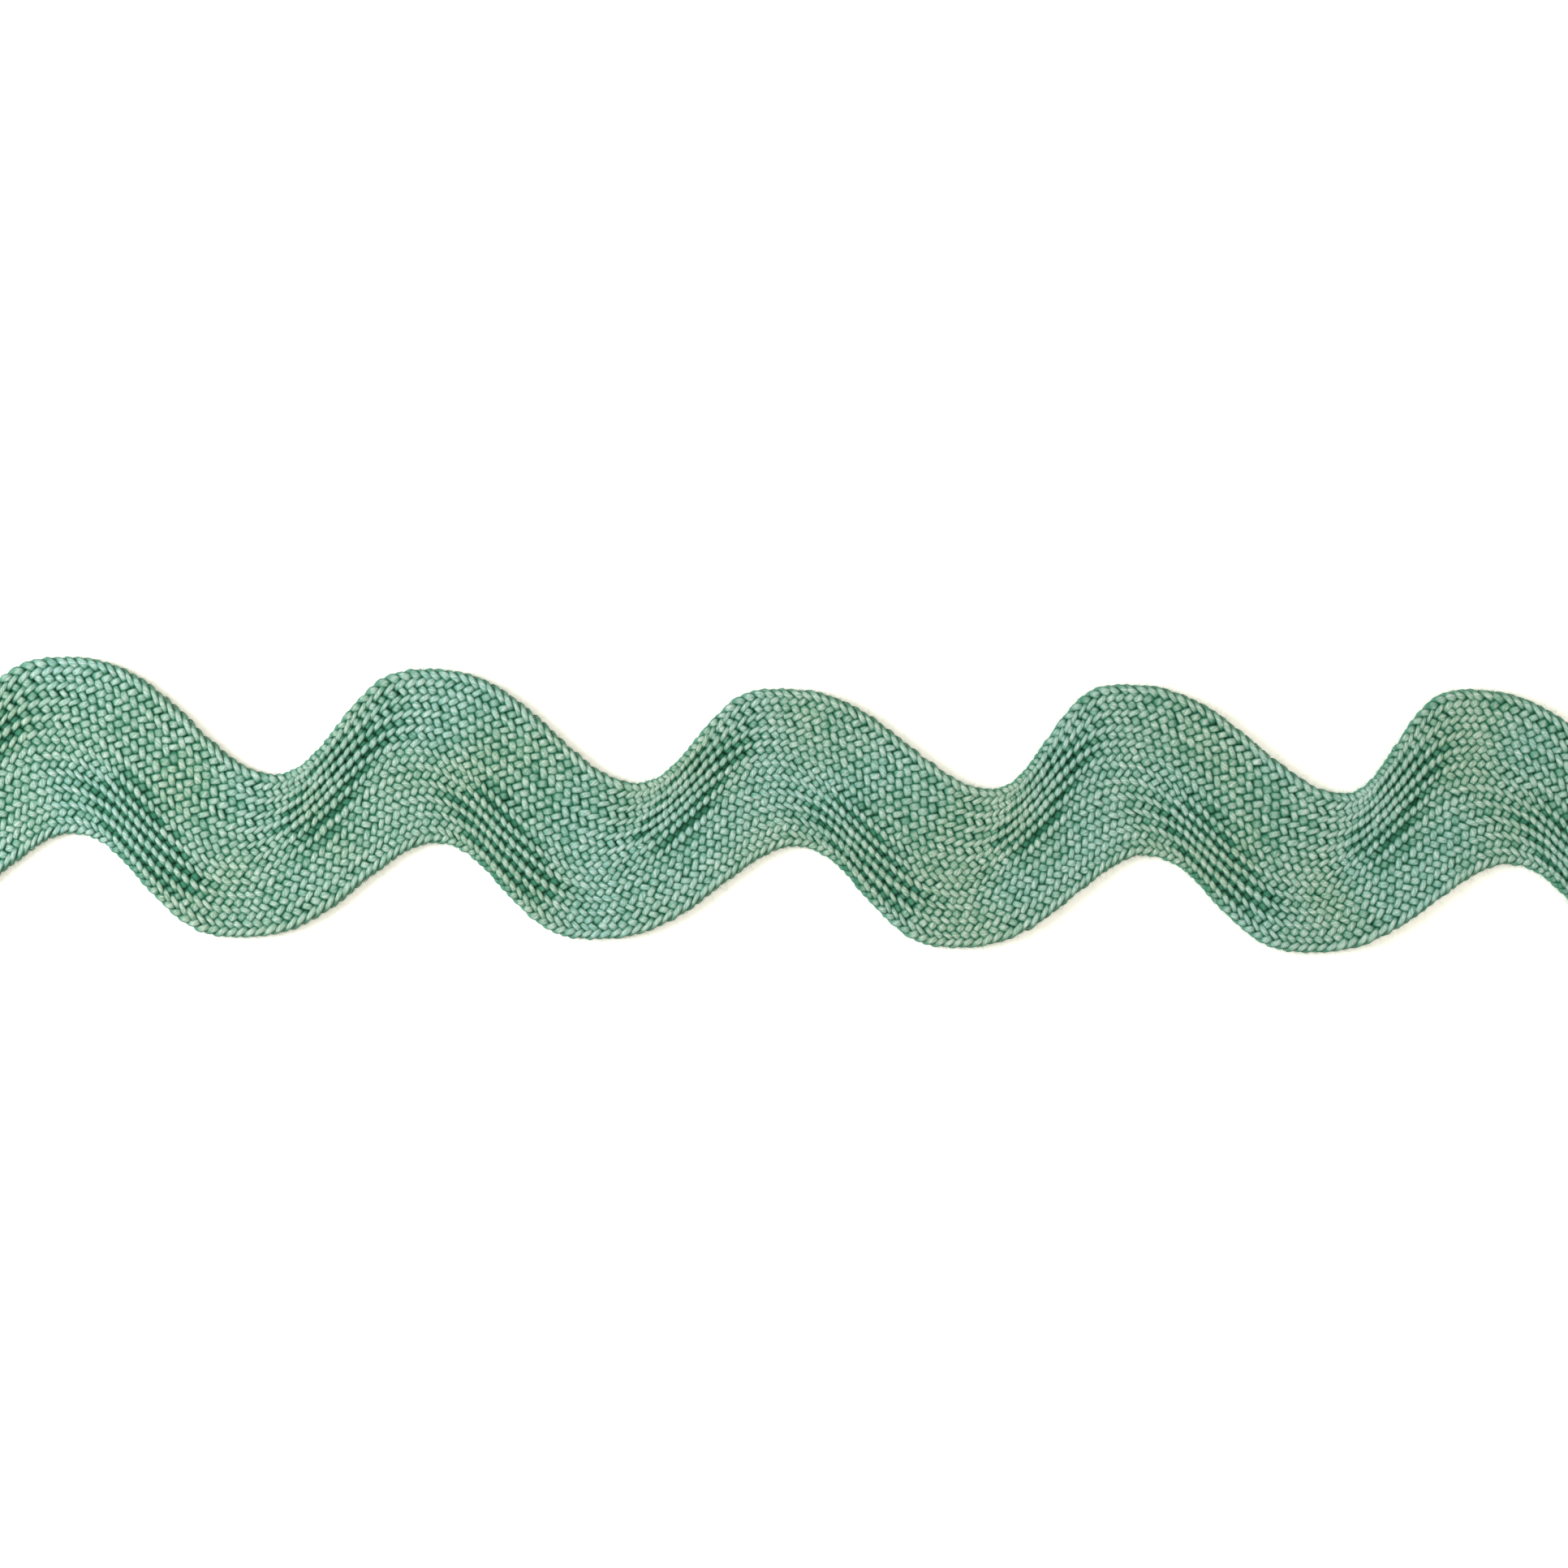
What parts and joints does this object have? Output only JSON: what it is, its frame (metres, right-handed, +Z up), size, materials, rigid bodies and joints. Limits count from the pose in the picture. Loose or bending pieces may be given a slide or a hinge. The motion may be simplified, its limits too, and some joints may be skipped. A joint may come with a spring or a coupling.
{
  "type": "length of ric rac",
  "caption": "Flat cut length of wide ric rac, a wavy braided trimming that is sewn onto clothes, linens and cushions.",
  "frame": {"origin": "on the surface that the braid lies on, under the middle of its box", "axes": "+X along the braid, +Y across it towards the upper edge, +Z up out of its face"},
  "size_m": [0.25, 0.0372, 0.0021],
  "materials": {
    "yarn": "matt sage green braided yarn, lighter on the raised stitches and deep green in the gaps"
  },
  "bodies": {
    "root": {"braid": "yarn"}
  },
  "joints": []
}
